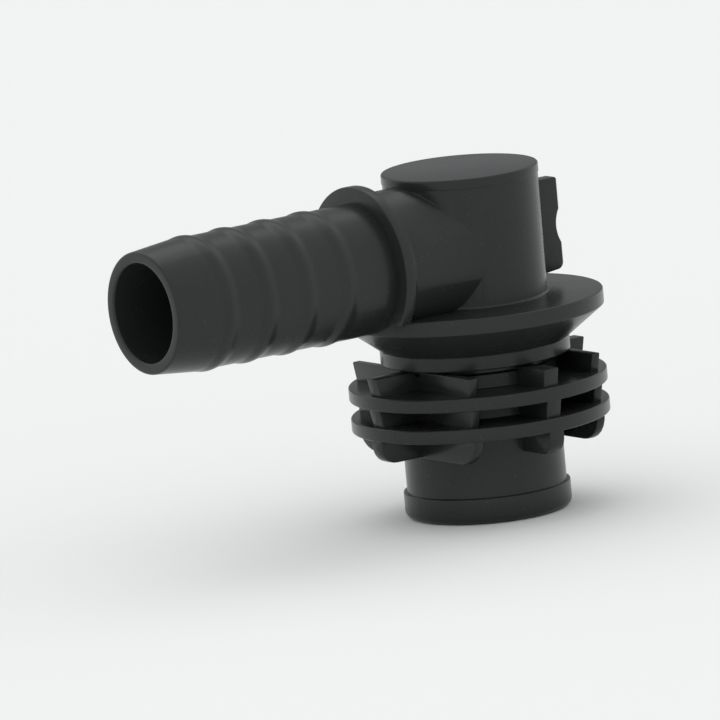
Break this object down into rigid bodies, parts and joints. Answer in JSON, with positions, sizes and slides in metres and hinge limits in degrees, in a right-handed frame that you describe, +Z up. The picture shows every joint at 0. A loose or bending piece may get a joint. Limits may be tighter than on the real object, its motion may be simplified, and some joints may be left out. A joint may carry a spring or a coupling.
{
  "type": "toilet fill valve",
  "caption": "Black moulded swivel elbow with a ringed hose tail on a finned push-in plug, with a spring check valve, strainer and flow washer inside.",
  "frame": {"origin": "where the plug's axis meets the plane of its foot", "axes": "+Z up along the plug's and housing's axis, -X along the hose tail towards its tip"},
  "size_m": [0.0803, 0.0404, 0.0533],
  "materials": {
    "moulded_black": "satin moulded black with a faint grain",
    "acetal": "natural white, satin",
    "nitrile_rubber": "matt black",
    "stainless_steel": "bright drawn and stamped"
  },
  "bodies": {
    "plug": {"plug_body": "moulded_black", "thrust_washer": "moulded_black", "flow_washer": "nitrile_rubber", "seat_ring": "acetal", "seat_o_ring": "nitrile_rubber", "spacer_sleeve": "acetal", "stem_guide": "acetal", "guide_snap_ring": "stainless_steel", "poppet_spring": "stainless_steel"},
    "elbow": {"elbow_body": "moulded_black", "top_cap": "moulded_black", "cap_o_ring": "nitrile_rubber", "swivel_o_ring_upper": "nitrile_rubber", "swivel_o_ring_lower": "nitrile_rubber", "swivel_lock_ring": "acetal", "strainer_frame": "acetal", "strainer_screen": "stainless_steel"},
    "poppet": {"poppet": "acetal", "poppet_seal": "nitrile_rubber", "poppet_seal_washer": "stainless_steel"}
  },
  "joints": [
    {"name": "elbow_swivel", "type": "hinge", "parent": "plug", "child": "elbow", "pos_m": [0, 0, 0.024], "axis": [0, 0, 1], "continuous": true},
    {"name": "poppet_lift", "type": "slide", "parent": "plug", "child": "poppet", "axis": [0, 0, -1], "range_m": [0, 0.0016], "stiffness_N_per_m": 100, "springref_m": -0.001, "deforming": ["poppet_spring"]}
  ]
}
